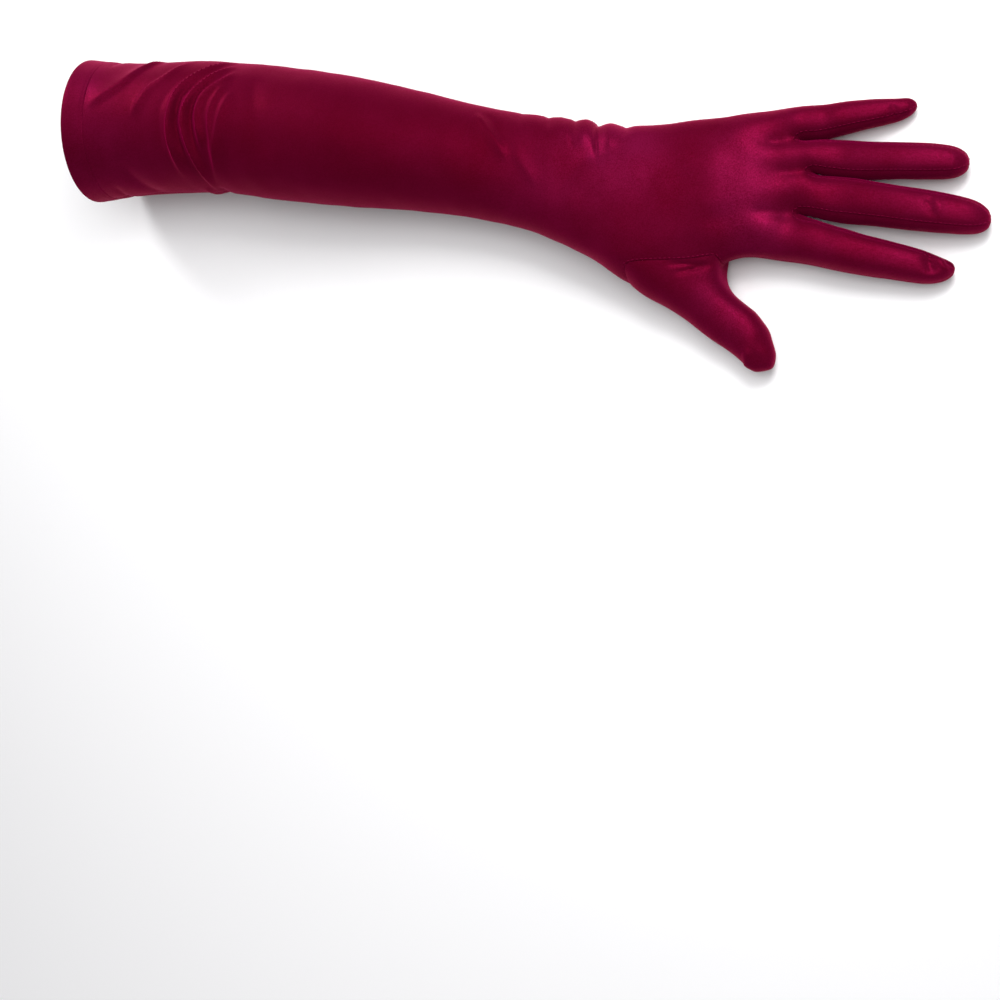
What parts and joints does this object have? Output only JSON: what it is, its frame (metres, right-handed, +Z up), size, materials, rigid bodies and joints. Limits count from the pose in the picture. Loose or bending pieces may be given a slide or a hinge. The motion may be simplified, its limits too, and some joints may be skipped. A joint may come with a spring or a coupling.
{
  "type": "long satin glove",
  "caption": "Long satin glove that reaches past the elbow, in its worn form: back and palm panels, a set-in thumb, fourchettes between the fingers and a stitched hem; left hand.",
  "frame": {"origin": "centre of the arm opening, in the plane of the hem's edge", "axes": "+X from the hem towards the fingertips, +Y towards the little-finger side, +Z up out of the back of the hand"},
  "size_m": [0.503, 0.1831, 0.0698],
  "materials": {
    "satin": "wine-red satin with a soft sheen and a fine grain"
  },
  "bodies": {
    "root": {"hem_band": "satin", "back_upper_sleeve": "satin", "back_forearm": "satin", "back_hand": "satin", "back_little_finger": "satin", "back_ring_finger": "satin", "back_middle_finger": "satin", "back_index_finger": "satin", "palm_upper_sleeve": "satin", "palm_forearm": "satin", "palm_hand": "satin", "palm_little_finger": "satin", "palm_ring_finger": "satin", "palm_middle_finger": "satin", "palm_index_finger": "satin", "fourchette_little_ring": "satin", "fourchette_ring_middle": "satin", "fourchette_middle_index": "satin", "thumb": "satin"}
  },
  "joints": []
}
